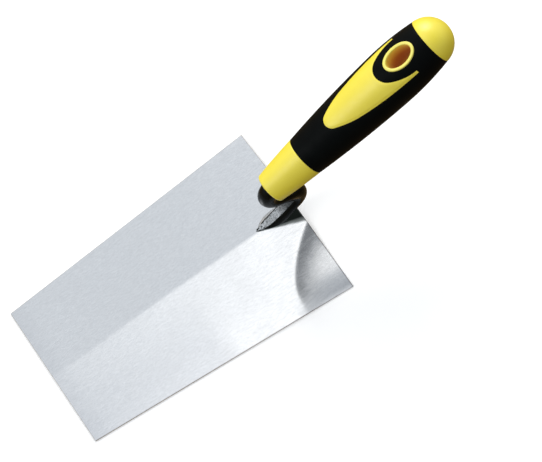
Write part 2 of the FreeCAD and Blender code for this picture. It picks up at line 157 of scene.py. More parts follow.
def add_node(material, kind, inputs=None, **settings):
    node = material.node_tree.nodes.new(kind)
    for name, value in settings.items():
        setattr(node, name, value)
    for name, value in (inputs or {}).items():
        if isinstance(value, bpy.types.NodeSocket):
            material.node_tree.links.new(value, node.inputs[name])
        else:
            node.inputs[name].default_value = value
    return node


def noise_of(material, place, size, detail=3.0, roughness=0.5, distortion=0.0):
    """Noise with blotches about as large as size, in millimetres."""
    node = add_node(
        material, "ShaderNodeTexNoise",
        {"Vector": place, "Scale": 1 / size, "Detail": detail, "Roughness": roughness,
         "Distortion": distortion},
    )
    return node.outputs["Fac"]


def ranged(material, value, low, high, out_low, out_high, **settings):
    node = add_node(
        material, "ShaderNodeMapRange",
        {"Value": value, "From Min": low, "From Max": high, "To Min": out_low,
         "To Max": out_high},
        **settings,
    )
    return node.outputs["Result"]


def varied(material, noise_value, first, last):
    """Spreads noise, most of which lies between 0.3 and 0.7, over a range."""
    return ranged(material, noise_value, 0.3, 0.7, first, last)


# sockets of the mix node that blends colours
MIX_FACTOR, MIX_FIRST, MIX_LAST, MIX_COLOUR = 0, 6, 7, 2


def blend_colour(material, factor, first, last):
    """Blends two colours, each (red, green, blue) or a socket."""
    colours = [value if isinstance(value, bpy.types.NodeSocket) else (*value, 1)
               for value in (first, last)]
    node = add_node(
        material, "ShaderNodeMix",
        {MIX_FACTOR: factor, MIX_FIRST: colours[0], MIX_LAST: colours[1]}, data_type="RGBA",
    )
    return node.outputs[MIX_COLOUR]


def calculate(material, operation, first, second=0.0):
    return add_node(material, "ShaderNodeMath", {0: first, 1: second},
                    operation=operation).outputs[0]


def add(material, first, second):
    return calculate(material, "ADD", first, second)


def multiply(material, first, second):
    return calculate(material, "MULTIPLY", first, second)


def bump(material, height, distance, strength=1.0, below=None):
    """A bump of the given height in millimetres; below is a coarser bump it lies on."""
    inputs = {"Height": height, "Distance": distance * MM, "Strength": strength}
    if below is not None:
        inputs["Normal"] = below
    return add_node(material, "ShaderNodeBump", inputs).outputs[0]


def parts_of(material, vector):
    return add_node(material, "ShaderNodeSeparateXYZ", {"Vector": vector}).outputs


def link(material, output, shader, name):
    material.node_tree.links.new(output, shader.inputs[name])


def surface(material, tone, roughness, normal, constants):
    """Feeds the shader its colour, roughness and bump, if any, and sets constant inputs."""
    shader = material.node_tree.nodes["Principled BSDF"]
    for name, output in (("Base Color", tone), ("Roughness", roughness), ("Normal", normal)):
        if output is not None:
            link(material, output, shader, name)
    for name, value in constants.items():
        shader.inputs[name].default_value = value
    return material


METAL = {"Metallic": 1.0}


# Grinding marks on the blade: their angle to its length and how drawn out they are.
GRAIN_ANGLE = 30.0
GRAIN_STRETCH = 3.5
# The blade darkens toward the front edge, and painted shade darkens the front of the right half,
# over these (from, to).
FRONT_EDGE_DARK_X = (-91.0, -76.0)
FRONT_SHADE_Y = (-4.0, -40.0)
FRONT_SHADE_X = (0.0, 14.0)
# Painted shade, standing in for a dark reflection, darkens the right edge where it runs into the
# heel.
HEEL_CORNER_SHADE_Y = (-49.0, -57.0)
HEEL_CORNER_SHADE_X = (52.0, 59.0)
# Painted shade on the side edge faces, strongest near the heel and gone at the front.
EDGE_SHADE_X = (0.0, 62.0)
# Painted shade runs along the heel as a dark line, strongest on the right half.
HEEL_SHADE_WIDTH = 0.6
HEEL_SHADE_Y = (12.0, 0.0)
# A painted reflection of the neck on the blade reaches this far from the foot at its tip, and
# spreads by so much a millimetre.
NECK_REFLECTION_TIP = 0.3
NECK_REFLECTION_SPREAD = 0.12
NECK_REFLECTION_BLUR = 0.22
NECK_REFLECTION_END_Y = 3.0


def leaf_line(material, parts):
    """(distance along from the leaf's tip, where the leaf's right side is on the blade)."""
    along = calculate(material, "SUBTRACT", parts["X"], LEAF_TIP_X)
    return along, add(material, multiply(material, along, LEAF_RIGHT[1]), LEAF_RIGHT[0])


def painted_neck_reflection(material, parts, streaks, upright):
    """Painted dark reflection of the neck on the blade beside the foot: (how covered, its
    colour).
    """
    along, line = leaf_line(material, parts)
    ragged = add(material, parts["Y"], varied(material, streaks, -0.15, 0.15))
    inland = calculate(material, "SUBTRACT", ragged, line)
    reach = add(material, multiply(material, along, NECK_REFLECTION_SPREAD), NECK_REFLECTION_TIP)
    depth = calculate(material, "DIVIDE", inland, reach)
    tone = blend_colour(material, ranged(material, depth, 0.0, 1.0, 0, 1),
                        (0.20, 0.218, 0.22), (0.006, 0.008, 0.007))
    reflection_share = ranged(material, depth, -NECK_REFLECTION_BLUR, NECK_REFLECTION_BLUR, 0, 1)
    for limit in (
        ranged(material, parts["Y"], NECK_REFLECTION_END_Y + 0.2, NECK_REFLECTION_END_Y - 0.2, 0, 1),
        ranged(material, along, 0, 1, 0, 1),
        ranged(material, upright, 0.5, 0.8, 0, 1),
    ):
        reflection_share = multiply(material, reflection_share, limit)
    return reflection_share, tone


def ground_steel():
    """Ground blade steel: fine grain that runs out from the ridge like a herringbone."""
    material, place = new_material("ground_steel")
    parts = parts_of(material, place)
    across = calculate(material, "ABSOLUTE", parts["Y"])
    mirrored = add_node(
        material, "ShaderNodeCombineXYZ", {"X": parts["X"], "Y": across, "Z": parts["Z"]},
    )
    grain_place = add_node(
        material, "ShaderNodeMapping",
        {"Vector": mirrored.outputs[0], "Rotation": (0, 0, radians(-GRAIN_ANGLE)),
         "Scale": (1 / GRAIN_STRETCH, 1, 1)},
    ).outputs[0]
    grain = noise_of(material, grain_place, 0.45, detail=4, roughness=0.7)
    streaks = noise_of(material, grain_place, 1.6, detail=3)
    scratched = noise_of(material, grain_place, 1.0, detail=3, roughness=0.7)
    cloud = noise_of(material, place, 26.0, detail=4, roughness=0.55)
    specks = noise_of(material, place, 0.5, detail=2, roughness=0.7)
    facing = add_node(material, "ShaderNodeNewGeometry").outputs["Normal"]
    upright = parts_of(material, facing)["Z"]

    tone = blend_colour(material, varied(material, grain, 0, 1),
                        (0.70, 0.72, 0.745), (0.83, 0.845, 0.865))
    # painted shade on the front of the right half; the blade also darkens toward its front edge
    painted_front_shade = multiply(material, ranged(material, parts["Y"], *FRONT_SHADE_Y, 0, 0.13),
                         ranged(material, parts["X"], *FRONT_SHADE_X, 1, 0))
    front_edge_darkening = ranged(material, parts["X"], *FRONT_EDGE_DARK_X, 0.10, 0.015)
    # painted shade: a dark reflection on the right edge where it runs into the heel
    painted_heel_corner_shade = multiply(material, ranged(material, parts["Y"], *HEEL_CORNER_SHADE_Y, 0, 0.32),
                     ranged(material, parts["X"], *HEEL_CORNER_SHADE_X, 0, 1))
    for factor, colour in (
        (ranged(material, cloud, 0.35, 0.65, 0, 0.35), (0.70, 0.715, 0.735)),
        (ranged(material, scratched, 0.38, 0.66, 0, 0.30), (0.58, 0.59, 0.61)),
        (ranged(material, specks, 0.70, 0.80, 0, 0.25), (0.45, 0.45, 0.46)),
        # darker toward the front edge, plus painted shade on the front of the right half
        (add(material, front_edge_darkening, painted_front_shade), (0.04, 0.07, 0.14)),
        # painted shade at the heel corner of the right edge
        (painted_heel_corner_shade, (0.05, 0.07, 0.10)),
        # painted reflection of the neck: dark by the foot, grey at its outer edge
        painted_neck_reflection(material, parts, streaks, upright),
    ):
        tone = blend_colour(material, factor, tone, colour)

    # painted shade on edge faces, by how steeply they face
    painted_edge_shade = ranged(material, calculate(material, "ABSOLUTE", upright), 0.4, 0.8, 0.9, 0)
    painted_edge_shade = multiply(material, painted_edge_shade, ranged(material, parts["X"], *EDGE_SHADE_X, 0, 1))
    crown = multiply(material, multiply(material, across, across),
                     HEEL_CROWN / HEEL_HALF_WIDTH ** 2)
    past_heel = add(material, add(material, parts["X"], crown), -BLADE_HALF_LENGTH - HEEL_CROWN)
    # painted shade: a dark line along the heel
    painted_heel_shade = multiply(material,
                    ranged(material, past_heel, -HEEL_SHADE_WIDTH, -HEEL_SHADE_WIDTH / 2, 0, 0.7),
                    ranged(material, parts["Y"], *HEEL_SHADE_Y, 0.15, 1))
    # painted shade on the edge faces and along the heel
    tone = blend_colour(material, calculate(material, "MAXIMUM", painted_edge_shade, painted_heel_shade), tone,
                        (0.09, 0.095, 0.10))
    blur = add(material, varied(material, streaks, 0.13, 0.19),
               varied(material, cloud, -0.015, 0.025))
    coarse = bump(material, streaks, 0.002)
    return surface(material, tone, blur, bump(material, grain, 0.005, below=coarse),
                   METAL)


LACQUER_THINS_X = (77.0, 84.0)


def bare_foot_steel():
    """Coarsely ground steel of the neck's foot: bright scratches and dark specks."""
    material, place = new_material("bare_foot_steel")
    along = add_node(
        material, "ShaderNodeMapping",
        {"Vector": place, "Rotation": (0, 0, radians(12)), "Scale": (0.35, 1, 1)},
    ).outputs[0]
    scratches = noise_of(material, along, 0.45, detail=4, roughness=0.7)
    specks = noise_of(material, place, 1.3, detail=3, roughness=0.75)
    tone = blend_colour(material, ranged(material, scratches, 0.38, 0.62, 0, 1),
                        (0.19, 0.203, 0.212), (0.575, 0.60, 0.62))
    tone = blend_colour(material, ranged(material, specks, 0.51, 0.62, 0, 0.9), tone,
                        (0.035, 0.04, 0.042))
    # Lacquer thins out over the last of the ground face, where it runs up into the bend.
    along_blade = parts_of(material, place)["X"]
    tone = blend_colour(material, ranged(material, along_blade, *LACQUER_THINS_X, 0, 0.8), tone,
                        (0.03, 0.034, 0.036))
    coarse = bump(material, specks, 0.08)
    return surface(material, tone, varied(material, specks, 0.28, 0.5),
                   bump(material, scratches, 0.03, below=coarse), METAL)


def black_lacquer():
    """Gloss lacquer dipped over forged scale: orange peel, with rubbed high spots."""
    material, place = new_material("black_lacquer")
    peel = noise_of(material, place, 1.8, detail=2)
    scale_marks = noise_of(material, place, 6.0, detail=4, roughness=0.6)
    rubbed = noise_of(material, place, 1.1, detail=4, roughness=0.75)
    tone = blend_colour(material, ranged(material, scale_marks, 0.35, 0.7, 0, 1),
                        (0.0014, 0.0015, 0.001), (0.006, 0.006, 0.004))
    tone = blend_colour(material, ranged(material, rubbed, 0.66, 0.74, 0, 0.5), tone,
                        (0.05, 0.05, 0.045))
    coarse = bump(material, scale_marks, 0.25, 0.6)
    return surface(material, tone, varied(material, peel, 0.16, 0.30),
                   bump(material, peel, 0.05, 0.6, below=coarse),
                   {"Specular Tint": (0.7, 0.88, 1.0, 1), "IOR": 1.3,
                    "Specular IOR Level": 0.25})


def weld_metal():
    """Weld metal, dull with scale in its ripples and bright where the grinder ran over it."""
    material, place = new_material("weld_metal")
    scale_marks = noise_of(material, place, 1.2, detail=4, roughness=0.7)
    fine = noise_of(material, place, 0.3, detail=3, roughness=0.7)
    tone = blend_colour(material, ranged(material, scale_marks, 0.42, 0.6, 0, 1),
                        (0.74, 0.745, 0.74), (0.42, 0.42, 0.41))
    return surface(material, tone, varied(material, scale_marks, 0.25, 0.5),
                   bump(material, fine, 0.06), METAL)


def scaled_weld():
    """The right-hand bead: black with lacquer and scale, thinning to grey at its edge."""
    material, place = new_material("scaled_weld")
    parts = parts_of(material, place)
    inland = calculate(material, "SUBTRACT", parts["Y"], leaf_line(material, parts)[1])
    blotches = noise_of(material, place, 2.2, detail=4, roughness=0.65)
    bare = add(material, ranged(material, inland, 0.0, 1.8, 0.85, 0.0),
               varied(material, blotches, -0.15, 0.15))
    tone = blend_colour(material, bare, (0.012, 0.013, 0.013), (0.40, 0.44, 0.45))
    return surface(material, tone, varied(material, blotches, 0.22, 0.38),
                   bump(material, blotches, 0.05), METAL)


def plastic(name, light, deep):
    """Glossy moulded plastic with slight flow marks and fine handling scratches."""
    material, place = new_material(name)
    flow = noise_of(material, place, 22.0, detail=3, distortion=0.6)
    handling = noise_of(material, place, 2.4, detail=5, roughness=0.7)
    skin_texture = noise_of(material, place, 0.35, detail=2)
    tone = blend_colour(material, varied(material, flow, 0, 1), deep, light)
    coarse = bump(material, flow, 0.12, 0.5)
    return surface(material, tone, ranged(material, handling, 0.3, 0.75, 0.36, 0.50),
                   bump(material, skin_texture, 0.006, below=coarse),
                   {"Specular IOR Level": 0.85})


def bore_painted_shade():
    """The bore of the eyelet, with painted shade: the yellow deepens to dark amber with depth
    into the hole.
    """
    material, place = new_material("bore_painted_shade")
    height = add_node(material, "ShaderNodeVectorMath", {0: place, 1: tuple(TOP)},
                      operation="DOT_PRODUCT").outputs["Value"]
    height = calculate(material, "SUBTRACT", height, RIM.dot(TOP) / MM)
    flow = noise_of(material, place, 6.0, detail=3)
    depth = add(material, calculate(material, "ABSOLUTE", height),
                varied(material, flow, -1.0, 1.0))
    # painted shade: dark amber deep in the bore, yellow near the rim
    tone = blend_colour(material, ranged(material, depth, 3.0, 16.0, 0, 1),
                        (0.72, 0.25, 0.022), (0.98, 0.74, 0.12))
    return surface(material, tone, varied(material, flow, 0.40, 0.52),
                   bump(material, flow, 0.05, 0.5), {})


def grip_rubber():
    """Soft black elastomer with a fine spark-eroded texture, polished in places by the hand."""
    material, place = new_material("grip_rubber")
    cells = add_node(
        material, "ShaderNodeTexVoronoi",
        {"Vector": place, "Scale": 1 / 0.55, "Randomness": 1.0},
        feature="SMOOTH_F1",
    ).outputs["Distance"]
    grit = noise_of(material, place, 0.3, detail=3, roughness=0.6)
    wear = noise_of(material, place, 14.0, detail=4, roughness=0.6)
    tone = blend_colour(material, ranged(material, wear, 0.35, 0.7, 0, 1),
                        (0.0004, 0.0010, 0.0011), (0.0010, 0.0020, 0.0021))
    coarse = bump(material, cells, 0.05, 0.5)
    return surface(material, tone, varied(material, wear, 0.62, 0.46),
                   bump(material, grit, 0.03, 0.6, below=coarse),
                   {"IOR": 1.3, "Specular IOR Level": 0.15})


def floor_paper():
    """White paper, glowing a little so that it stays white to its edges."""
    material, place = new_material("floor_paper")
    fibres = noise_of(material, place, 3.0, detail=4)
    tone = blend_colour(material, varied(material, fibres, 0, 1),
                        (0.95, 0.95, 0.95), (0.98, 0.98, 0.98))
    return surface(material, tone, None, None,
                   {"Roughness": 0.85, "Specular IOR Level": 0.2,
                    "Emission Color": (1, 1, 1, 1), "Emission Strength": 0.16})


# ---------------- blade

BLADE_LOW, BLADE_HIGH = (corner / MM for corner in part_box("blade"))
BLADE_HALF_LENGTH = -BLADE_LOW.x
HEEL_CROWN = BLADE_HIGH.x - BLADE_HALF_LENGTH
HEEL_HALF_WIDTH = 61.0
FRONT_HALF_WIDTH = 49.0
EDGE_THICKNESS = 1.0
FRONT_RIDGE = 1.5
HEEL_RIDGE = BLADE_HIGH.z
EDGE_BEVEL = 0.18
BLADE_CELL = 1.25
SHEET_WAVE = 0.022
SHEET_WAVE_ALONG = 34.0
SHEET_WAVE_ACROSS = 26.0

# The ridge is ground a little off the middle behind the front edge.
RIDGE_DRIFT = 1.8
RIDGE_DRIFT_FROM = -80.0
RIDGE_DRIFT_TO = 5.0
HOLLOW = 0.14

# On the right side the grinder dubbed the heel off behind a curved line.
DUB_LINE_X = 56.3
DUB_SOFTNESS = 3.2
DUB_LINE_Y = -56.0
DUB_LINE_BEND = 0.0166
DUB_SLOPE = 0.082
DUB_FADE = 12.0
DUB_EDGE_SLOPE = 0.030
DUB_EDGE_FADE = 26.0
DUB_NECK_FADE = 9.0
DUB_NECK_Y = (-38.0, -10.0)
DUB_INLAND_SHARE = 0.3
DUB_REST_SLOPE = 0.020
DUB_EDGE_REST_SLOPE = 0.004


def ridge_offset(x):
    return RIDGE_DRIFT * ease(RIDGE_DRIFT_FROM, RIDGE_DRIFT_TO, x)


def dubbed_off(x, y, inland):
    """How far the right side of the heel is ground down; inland is 0 at the edge, 1 inside."""
    line = DUB_LINE_X + DUB_LINE_BEND * (y - DUB_LINE_Y) ** 2
    behind = x - line
    if behind <= 0 or y > ridge_offset(x):
        return 0.0
    if behind < DUB_SOFTNESS:
        behind = behind ** 2 / (2 * DUB_SOFTNESS)
    else:
        behind -= DUB_SOFTNESS / 2
    fade = mix(DUB_EDGE_FADE, DUB_FADE, inland) + DUB_NECK_FADE * ease(*DUB_NECK_Y, y)
    steep = mix(DUB_EDGE_SLOPE, DUB_SLOPE, inland) * fade * (1 - exp(-behind / fade))
    return steep + mix(DUB_EDGE_REST_SLOPE, DUB_REST_SLOPE, inland) * behind


def blade_top(x, y, half_width):
    """Height of the blade's upper face."""
    ridge_y = ridge_offset(x)
    along = clamp((x + BLADE_HALF_LENGTH) / (2 * BLADE_HALF_LENGTH))
    ridge = mix(FRONT_RIDGE, HEEL_RIDGE, along)
    if y > ridge_y:
        share = (half_width - y) / (half_width - ridge_y)
    else:
        share = (half_width + y) / (half_width + ridge_y)
    share = clamp(share)
    height = mix(EDGE_THICKNESS, ridge, share)
    height -= HOLLOW * along * 4 * share * (1 - share)
    height += SHEET_WAVE * noise.noise(Vector((x / SHEET_WAVE_ALONG, y / SHEET_WAVE_ACROSS, 3.0)))
    return height - dubbed_off(x, y, ease(0, DUB_INLAND_SHARE, share))


def blade_ring(along, inset):
    """One closed section across the blade; inset thins it where the end edges are bevelled."""
    across = spread(-1, 1, int(2 * HEEL_HALF_WIDTH / BLADE_CELL))
    half_width = mix(FRONT_HALF_WIDTH, HEEL_HALF_WIDTH, along)
    bevel = EDGE_BEVEL / half_width
    across = [-1.0] + [share * (1 - bevel) for share in across] + [1.0]
    below, above = [], []
    for share in across:
        y = share * half_width
        reach = BLADE_HALF_LENGTH * 2 + HEEL_CROWN * (1 - share * share)
        x = -BLADE_HALF_LENGTH + reach * along
        thin = max(inset, EDGE_BEVEL if abs(share) == 1 else 0.0)
        below.append(Vector((x, y, thin)) * MM)
        above.append(Vector((x, y, blade_top(x, y, half_width) - thin)) * MM)
    return below + above[::-1]


def make_blade(steel):
    bevel_share = EDGE_BEVEL / (2 * BLADE_HALF_LENGTH)
    stations = spread(bevel_share, 1 - bevel_share, int(2 * BLADE_HALF_LENGTH / BLADE_CELL))
    rings = [blade_ring(0.0, EDGE_BEVEL)]
    rings += [blade_ring(along, 0.0) for along in stations]
    rings.append(blade_ring(1.0, EDGE_BEVEL))
    bm, rows = skin(rings)
    for row in (rows[0], rows[-1]):
        half = len(row) // 2
        for index in range(half - 1):
            other = len(row) - 1 - index
            bm.faces.new((row[index], row[index + 1], row[other - 1], row[other]))
    piece = finish_mesh(bm, "trowel_blade", [steel], sharp_degrees=30)
    stand_for(piece, "blade")
    return piece


# ---------------- neck

BAR_RADIUS = 5.4
SHANK_DEPTH = 20.0
FRONT_BEND_RADIUS = 11.5
FRONT_BEND_X = 85.9
REAR_BEND_RADIUS = 8.5
REAR_BEND = (85.7, 26.8)
FOOT_SLOPE = radians(37.5)
FOOT_X = 64.7
NECK_STEP = 0.45

# The foot is drawn out to a leaf whose tip leans left; its outline on the blade is straight
# on both sides: (across at the tip, across per millimetre along).
LEAF_TIP_X = 61.9
LEAF_LEFT = (1.9, 0.455)
LEAF_RIGHT = (1.2, -0.41)
LEAF_HEIGHT = 11.5
LEAF_BLEND = 6.0
LEAF_LEAST_LEFT = 0.3
LEAF_MOST_RIGHT = 1.5
DRAWN_BEYOND_BAR = 2.0
FOOT_GAP = 0.6
WELD_REACH = 7.8
FOOT_LEAN = 1.8
FOOT_LEAN_REACH = 22.0

# The facet ground on top of the foot, by distance up the bar: it opens from its tip, runs
# level, and then drifts to the right until it closes.
FACET_TIP = 2.5
FACET_TIP_ACROSS = 0.5
FACET_LEFT = 1.9
FACET_LEFT_SPREAD = 2.0
FACET_RIGHT = -3.6
FACET_RIGHT_SPREAD = 8.0
FACET_DRIFT = -5.6
FACET_DRIFT_FROM = 21.0
FACET_DRIFT_TO = 38.0
FACET_CROWN = 0.10
FACET_WOBBLE = 0.25
FACET_WOBBLE_LENGTH = 2.2
FACET_STEEPEST = 0.95
FACET_LEAST = 0.1
CROWNED_FROM = 0.8
# A narrower flat on the left flank, past a strip of lacquer.
FLANK_GAP = radians(9)
FLANK_REACH = radians(40)
FLANK_LEAST = radians(4)
FLANK_OPENS_OVER = 8.0
FLANK_FROM = 3.5
FLANK_TO = 30.0
GAP_FROM = 6.5

FACET_COLUMNS = 12
GAP_COLUMNS = 3
FLANK_COLUMNS = 8
BACK_COLUMNS = 65
# Past the facet the columns drift to an even spacing, over these distances up the bar.
EVEN_COLUMNS = (FACET_DRIFT_TO + 2, FACET_DRIFT_TO + 14)
LACQUER, STEEL, WELD = 0, 1, 2


def neck_path():
    """Centre line of the bar in the XZ plane, from inside the handle to the blade."""
    rim_x, rim_z = RIM.x / MM, RIM.z / MM
    front_z = (rim_z + (FRONT_BEND_X - rim_x) * tan(HANDLE_RISE)
               - FRONT_BEND_RADIUS / cos(HANDLE_RISE))
    rear_x, rear_z = REAR_BEND
    gap = hypot(rear_x - FRONT_BEND_X, rear_z - front_z)
    bearing = atan2(rear_z - front_z, rear_x - FRONT_BEND_X) % (2 * pi)
    limb = bearing - acos((FRONT_BEND_RADIUS + REAR_BEND_RADIUS) / gap)

    def arc(centre_x, centre_z, radius, first, last):
        count = max(3, int(abs(last - first) * radius / NECK_STEP))
        return [(centre_x + radius * cos(angle), centre_z + radius * sin(angle))
                for angle in spread(first, last, count)]

    front = arc(FRONT_BEND_X, front_z, FRONT_BEND_RADIUS, pi / 2 + HANDLE_RISE, limb)
    rear = arc(rear_x, rear_z, REAR_BEND_RADIUS, limb - pi, FOOT_SLOPE - pi / 2)
    start = (rim_x + SHANK_DEPTH * cos(HANDLE_RISE),
             rim_z + SHANK_DEPTH * sin(HANDLE_RISE))
    points = []
    for run in ([start], front, rear, [(FOOT_X, 0.0)]):
        if points:
            (x0, z0), (x1, z1) = points[-1], run[0]
            count = max(2, int(hypot(x1 - x0, z1 - z0) / NECK_STEP))
            points += [(mix(x0, x1, t), mix(z0, z1, t)) for t in spread(0, 1, count)[1:-1]]
        points += run
    return points


def leaf_edge(outline, x):
    """Where the weld ends on the blade; it follows the leaf, then the bar."""
    return clamp(outline[0] + outline[1] * (x - LEAF_TIP_X), -WELD_REACH, WELD_REACH)


def foot_lean(up_bar):
    """How far the bar's axis leans left, by distance up the bar."""
    return FOOT_LEAN * ease(FOOT_LEAN_REACH, 0, up_bar)


def facet_angles(up_bar):
    """Angles of the facet's right and left edges about the bar, 0 at the top."""
    past_tip = max(up_bar - FACET_TIP, 0.0)
    right = FACET_TIP_ACROSS + FACET_RIGHT * (1 - exp(-past_tip / FACET_RIGHT_SPREAD))
    left = (FACET_TIP_ACROSS + FACET_LEFT * (1 - exp(-past_tip / FACET_LEFT_SPREAD))
            + FACET_DRIFT * ease(FACET_DRIFT_FROM, FACET_DRIFT_TO, up_bar)
            + FACET_WOBBLE * noise.noise(Vector((up_bar / FACET_WOBBLE_LENGTH, 5.0, 0.0))))
    lean = foot_lean(up_bar)
    left = max(left, right + FACET_LEAST)
    return [asin(clamp((edge - lean) / BAR_RADIUS, -FACET_STEEPEST, FACET_STEEPEST))
            for edge in (right, left)]


def bar_section(up_bar):
    """(across, lift) points of the bar's section, and its columns by kind.

    The columns start at the facet's right edge and go over the top to the left.
    """
    right, left = facet_angles(up_bar)
    open_share = min(ease(FLANK_FROM, FLANK_FROM + FLANK_OPENS_OVER, up_bar),
                     ease(FLANK_TO, FLANK_TO - FLANK_OPENS_OVER, up_bar))
    near = left + FLANK_GAP
    far = near + mix(FLANK_LEAST, FLANK_REACH, open_share)
    stops = [(right, left, FACET_COLUMNS, FACET_CROWN), (left, near, GAP_COLUMNS, None),
             (near, far, FLANK_COLUMNS, FACET_CROWN),
             (far, right + 2 * pi, BACK_COLUMNS, None)]
    total = FACET_COLUMNS + GAP_COLUMNS + FLANK_COLUMNS + BACK_COLUMNS
    evenness = ease(*EVEN_COLUMNS, up_bar)
    section = []
    for first, last, count, crown in stops:
        for share in spread(0, 1, count + 1)[:-1]:
            angle = mix(first, last, share)
            even = right + 2 * pi * len(section) / total
            if crown is None or evenness > 0:
                angle = mix(angle, even, evenness)
                section.append((BAR_RADIUS * sin(angle), BAR_RADIUS * cos(angle)))
                continue
            rise = crown * 4 * share * (1 - share) * min(1.0, (last - first) / CROWNED_FROM)
            section.append((mix(sin(first), sin(last), share) * BAR_RADIUS,
                            mix(cos(first), cos(last), share) * BAR_RADIUS + rise))
    return section


def draw_out(point):
    """Narrows a point of the bar to the leaf-shaped foot, all in millimetres."""
    x, y, z = point
    low = ease(LEAF_HEIGHT, LEAF_HEIGHT - LEAF_BLEND, z)
    if low > 0:
        flare = flare_width(x)
        beyond = BAR_RADIUS + DRAWN_BEYOND_BAR
        left = mix(beyond, max(leaf_edge(LEAF_LEFT, x) - flare, LEAF_LEAST_LEFT), low)
        right = mix(-beyond, min(leaf_edge(LEAF_RIGHT, x) + flare, LEAF_MOST_RIGHT), low)
        middle = (left + right) / 2
        y = clamp(y, min(right, middle), max(left, middle))
    return Vector((x, y, max(z, FOOT_GAP)))


def make_neck(lacquer, steel, weld):
    points = neck_path()
    lengths = [0.0]
    for (x0, z0), (x1, z1) in zip(points[::-1], points[-2::-1]):
        lengths.append(lengths[-1] + hypot(x1 - x0, z1 - z0))
    lengths.reverse()
    rings = []
    for index, (x, z) in enumerate(points):
        x0, z0 = points[max(index - 1, 0)]
        x1, z1 = points[min(index + 1, len(points) - 1)]
        up = SIDE.cross(Vector((x1 - x0, 0, z1 - z0)).normalized())
        up_bar = lengths[index]
        centre = Vector((x, foot_lean(up_bar), z))
        ring = []
        for across, lift in bar_section(up_bar):
            point = centre + SIDE * across + up * lift
            ring.append((draw_out(point) if up_bar < FACET_DRIFT_FROM else point) * MM)
        rings.append(ring)
    bm, rows = skin(rings, capped=True)
    column = {vert: (row_index, index) for row_index, row in enumerate(rows)
              for index, vert in enumerate(row)}
    flank_start = FACET_COLUMNS + GAP_COLUMNS
    flank_end = flank_start + FLANK_COLUMNS
    for face in bm.faces:
        face.material_index = LACQUER
        up_bar = lengths[min(column[vert][0] for vert in face.verts)]
        columns = [column[vert][1] for vert in face.verts]
        if max(columns) <= FACET_COLUMNS and up_bar < FACET_DRIFT_TO - 2:
            face.material_index = STEEL
        elif max(columns) <= flank_start and up_bar < GAP_FROM:
            face.material_index = STEEL
        elif (min(columns) >= flank_start and max(columns) <= flank_end
              and FLANK_FROM < up_bar < FLANK_TO):
            face.material_index = WELD
    piece = finish_mesh(bm, "neck_bar", [lacquer, steel, weld], sharp_degrees=18)
    stand_for(piece, "neck", mirrored=False)
    return piece


# ---------------- weld beads

WELD_END_X = 81.0
WELD_FADE = 14.0
WELD_STEP = 0.3
WELD_RIPPLE = 1.7
FLARE_TIP = 0.15
FLARE_SPREAD = 0.11
FLARE_RISE = 1.15
BEAD_COLUMNS = 10
BEAD_OVERLAP = 1.0
BEAD_OVERLAP_FROM_TIP = 5.0
BEAD_LAST_WIDTH = 0.25
BEAD_LAST_RISE = 0.2
BEAD_LAST_SHIFT = 0.9
BEAD_HOLLOW = 1.5
RIPPLE_HEIGHT = 0.05
BEAD_WOBBLE = 0.10
WOBBLE_PER_RIPPLE = 0.6
BEAD_SUNK = 0.02
BEAD_ROOT = 0.8


def flare_width(x):
    """Width of the bead that fills the corner between the foot and the blade."""
    return FLARE_TIP + FLARE_SPREAD * max(x - LEAF_TIP_X, 0.0)


def weld_bead(outline, side):
    """Sections of the bead on one side, from the leaf's tip to where it runs out."""
    rings = []
    for x in spread(LEAF_TIP_X, WELD_END_X, int((WELD_END_X - LEAF_TIP_X) / WELD_STEP)):
        fade = ease(WELD_END_X, WELD_END_X - WELD_FADE, x)
        phase = (x - LEAF_TIP_X) / WELD_RIPPLE
        unevenness = noise.noise(Vector((phase * WOBBLE_PER_RIPPLE, side * 3.0, 1.0)))
        wobble = RIPPLE_HEIGHT * sin(2 * pi * phase) + BEAD_WOBBLE * unevenness
        width = flare_width(x) * mix(BEAD_LAST_WIDTH, 1, fade)
        edge = leaf_edge(outline, x) - side * flare_width(x) * (1 - fade) * BEAD_LAST_SHIFT
        edge += side * wobble * min(1.0, width)
        depth = width + BEAD_OVERLAP * ease(0, BEAD_OVERLAP_FROM_TIP, x - LEAF_TIP_X)
        inner = edge - side * depth
        half_width = mix(FRONT_HALF_WIDTH, HEEL_HALF_WIDTH,
                         (x + BLADE_HALF_LENGTH) / (2 * BLADE_HALF_LENGTH))
        ring = []
        for share in spread(0, 1, BEAD_COLUMNS):
            across = mix(edge, inner, share)
            rise = FLARE_RISE * depth * share ** BEAD_HOLLOW * (1 + wobble)
            lift = rise * mix(BEAD_LAST_RISE, 1, fade) - BEAD_SUNK
            ring.append(Vector((x, across, blade_top(x, across, half_width) + lift)) * MM)
        for across in (inner, edge):
            ring.append(Vector((x, across, blade_top(x, across, half_width) - BEAD_ROOT)) * MM)
        rings.append(ring)
    return rings


def make_welds(metal, scaled):
    merged = bmesh.new()
    for outline, side in ((LEAF_LEFT, 1), (LEAF_RIGHT, -1)):
        bm, _ = skin(weld_bead(outline, side), capped=True)
        for face in bm.faces:
            face.material_index = 0 if side > 0 else 1
        part = bpy.data.meshes.new("bead")
        bm.to_mesh(part)
        bm.free()
        merged.from_mesh(part)
        bpy.data.meshes.remove(part)
    piece = finish_mesh(merged, "weld_run", [metal, scaled])
    stand_for(piece, "weld_beads")
    return piece


# ---------------- handle

